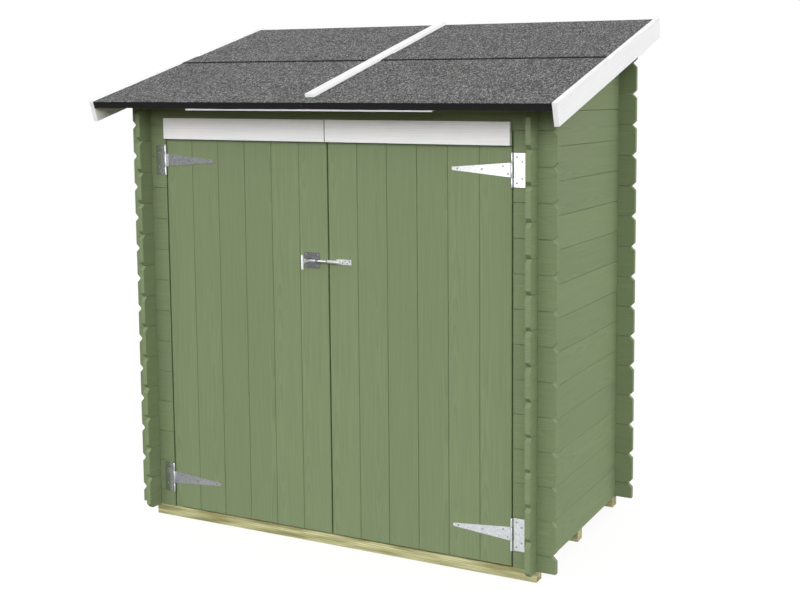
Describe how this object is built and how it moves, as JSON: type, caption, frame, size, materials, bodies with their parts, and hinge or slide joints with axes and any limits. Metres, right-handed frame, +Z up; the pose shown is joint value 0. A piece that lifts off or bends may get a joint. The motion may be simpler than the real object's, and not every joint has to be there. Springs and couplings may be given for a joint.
{
  "type": "wooden garden shed",
  "caption": "Small pent-roofed garden shed of horizontal logs lapped at the corners, with ledged double doors on T hinges and a felted roof.",
  "frame": {"origin": "On the ground, at the centre of the bounding box.", "axes": "+X to the right as the doors are faced, +Y from the doors to the rear wall, +Z up."},
  "size_m": [1.908, 1.1036, 1.9802],
  "materials": {
    "green_wood": "sage green opaque paint, fine grain showing through",
    "white_wood": "white paint",
    "bare_wood": "planed spruce, unpainted",
    "treated_wood": "pressure treated softwood, sawn",
    "roof_felt": "mineral roofing felt with grey granules",
    "galvanised_steel": "zinc plated sheet"
  },
  "bodies": {
    "shed": {"front_bearer": "treated_wood", "middle_bearer": "treated_wood", "rear_bearer": "treated_wood", "floor": "treated_wood", "rear_wall": "green_wood", "left_wall": "green_wood", "right_wall": "green_wood", "front_wall_left": "green_wood", "front_wall_right": "green_wood", "lintel_log": "green_wood", "left_door_post": "bare_wood", "right_door_post": "bare_wood", "left_roof_deck": "bare_wood", "right_roof_deck": "bare_wood", "left_bargeboard": "white_wood", "right_bargeboard": "white_wood", "roof_joint_batten": "white_wood", "eaves_joining_lath": "white_wood", "left_lower_felt": "roof_felt", "right_lower_felt": "roof_felt", "left_upper_felt": "roof_felt", "right_upper_felt": "roof_felt", "left_hinge_plates": "galvanised_steel", "right_hinge_plates": "galvanised_steel", "left_hinge_pins": "galvanised_steel", "right_hinge_pins": "galvanised_steel"},
    "left_door": {"left_door_panel": "green_wood", "left_door_ledges": "bare_wood", "left_door_braces": "bare_wood", "left_head_board": "white_wood", "left_hinge_straps": "galvanised_steel", "latch_plate": "galvanised_steel"},
    "right_door": {"right_door_panel": "green_wood", "right_door_ledges": "bare_wood", "right_door_braces": "bare_wood", "right_head_board": "white_wood", "right_hinge_straps": "galvanised_steel", "latch_keeper": "galvanised_steel"},
    "latch_bolt": {"latch_bolt": "galvanised_steel"}
  },
  "joints": [
    {"name": "left_door_hinge", "type": "hinge", "parent": "shed", "child": "left_door", "pos_m": [-0.731, -0.39211, 0.79], "axis": [0, 0, -1], "range_deg": [0, 110]},
    {"name": "right_door_hinge", "type": "hinge", "parent": "shed", "child": "right_door", "pos_m": [0.731, -0.39211, 0.79], "axis": [0, 0, 1], "range_deg": [0, 110]},
    {"name": "latch_bolt_slide", "type": "slide", "parent": "left_door", "child": "latch_bolt", "axis": [1, 0, 0], "range_m": [0, 0.018]}
  ]
}
